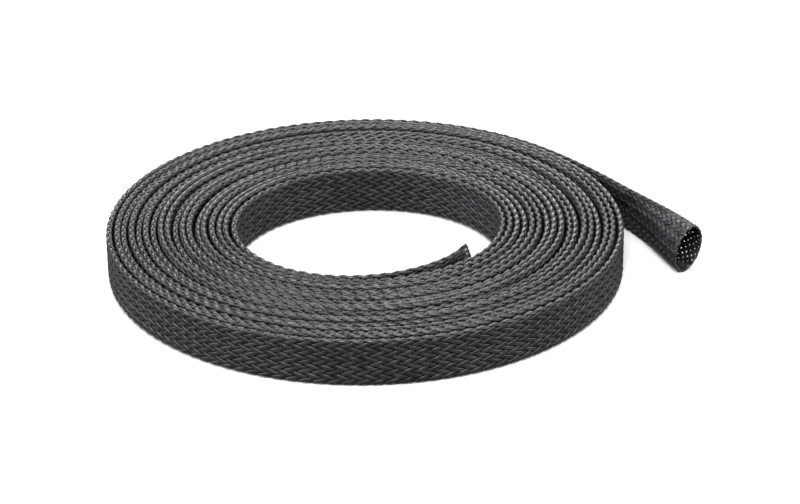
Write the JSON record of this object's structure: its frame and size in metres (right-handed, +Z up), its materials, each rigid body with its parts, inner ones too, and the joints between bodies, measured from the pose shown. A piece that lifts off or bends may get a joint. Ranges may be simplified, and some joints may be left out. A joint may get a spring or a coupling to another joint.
{
  "type": "braided cable sleeve",
  "caption": "Flat-laid braided cable sleeve wound on edge into an open coil, its outer end running off and standing open.",
  "frame": {"origin": "middle of the bounding box, on the floor that the coil lies on", "axes": "+Z up through the coil's bore, -Y out of the open mouth of the sleeve's outer end, +X towards the side where that end runs off"},
  "size_m": [0.1276, 0.1214, 0.0119],
  "materials": {
    "braid": "satin monofilament braid, charcoal black"
  },
  "bodies": {
    "root": {"braided_sleeve": "braid"}
  },
  "joints": []
}
